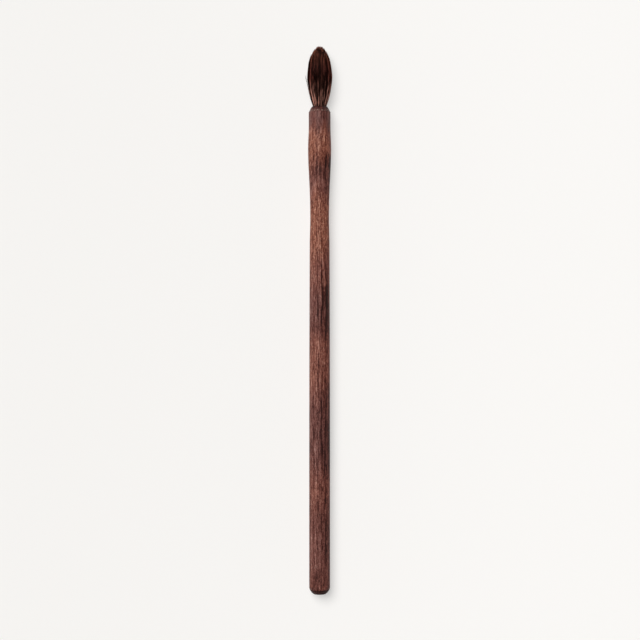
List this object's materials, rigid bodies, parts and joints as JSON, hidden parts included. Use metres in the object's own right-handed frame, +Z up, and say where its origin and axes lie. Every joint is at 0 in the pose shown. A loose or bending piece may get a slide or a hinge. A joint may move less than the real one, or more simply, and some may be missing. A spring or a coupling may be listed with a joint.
{
  "type": "calligraphy brush",
  "caption": "Calligraphy brush: a turned dark hardwood handle with a swelling head, and a full tuft of dark brown hair bound, seared and glued into it.",
  "frame": {"origin": "on the surface that the brush lies on, under the middle of its length", "axes": "+Y along the brush from its butt to its hair tip, +X across it, +Z up from the surface that it lies on"},
  "size_m": [0.011, 0.24, 0.0106],
  "materials": {
    "dark_wood": "satin",
    "glue": "gloss",
    "seared_resin": "matte",
    "bound_hair": "satin",
    "thread": "matte",
    "dark_hair": "satin",
    "tip_hair": "satin"
  },
  "bodies": {
    "handle": {"handle": "dark_wood", "socket_glue": "glue", "root_seal": "seared_resin", "core_root": "bound_hair", "core_binding": "thread", "mantle_root": "bound_hair", "mantle_binding": "thread"},
    "tuft": {"core_hair": "tip_hair", "mantle_hair": "dark_hair"}
  },
  "joints": [
    {"name": "tuft_bend", "type": "hinge", "parent": "handle", "child": "tuft", "pos_m": [0, 0.097, 0.00507], "axis": [0, 0, 1], "range_deg": [-50, 50], "stiffness_Nm_per_rad": 0.006}
  ]
}
